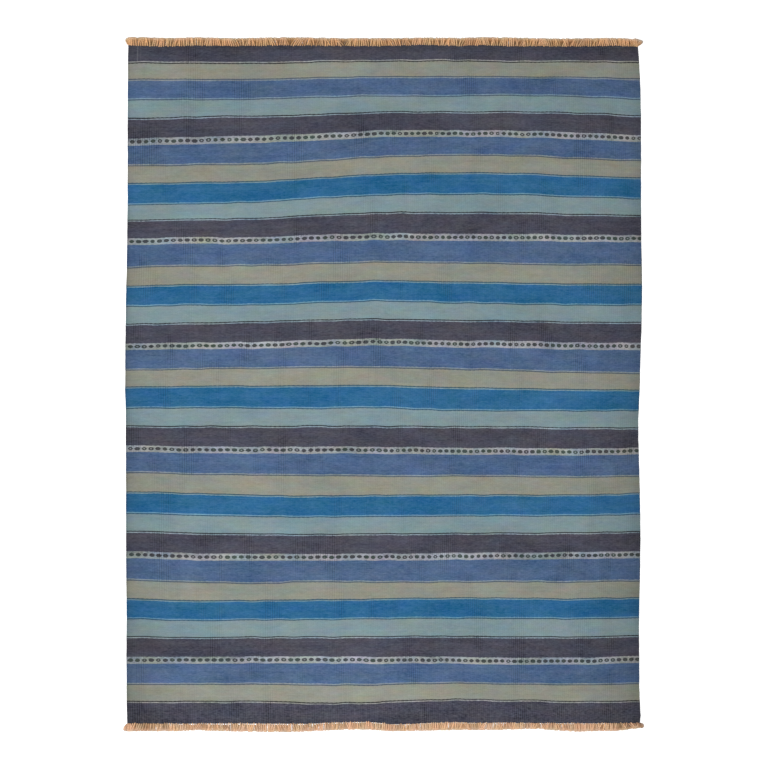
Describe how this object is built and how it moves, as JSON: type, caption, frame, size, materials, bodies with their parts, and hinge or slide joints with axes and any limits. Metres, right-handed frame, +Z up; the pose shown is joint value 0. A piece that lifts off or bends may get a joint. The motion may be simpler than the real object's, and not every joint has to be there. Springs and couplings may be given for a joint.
{
  "type": "kilim",
  "caption": "Flat-woven wool floor rug in blue, teal, olive and charcoal cross stripes with dotted bands, lying flat, with corded selvedges and a short tan warp fringe at both ends.",
  "frame": {"origin": "middle of the whole rug, fringe included, on the floor under it", "axes": "+X across the rug along the wefts, +Y along the warps towards the end that is up in the picture, +Z up off the floor"},
  "size_m": [1.726, 2.3, 0.0075],
  "materials": {
    "woven_wool": "matt weft-faced wool flatweave in blue, teal, olive and charcoal stripes",
    "warp_fringe": "matt undyed twisted warp yarn, tan"
  },
  "bodies": {
    "root": {"kilim_panel": "woven_wool", "fringe_top": "warp_fringe", "fringe_bottom": "warp_fringe"}
  },
  "joints": []
}
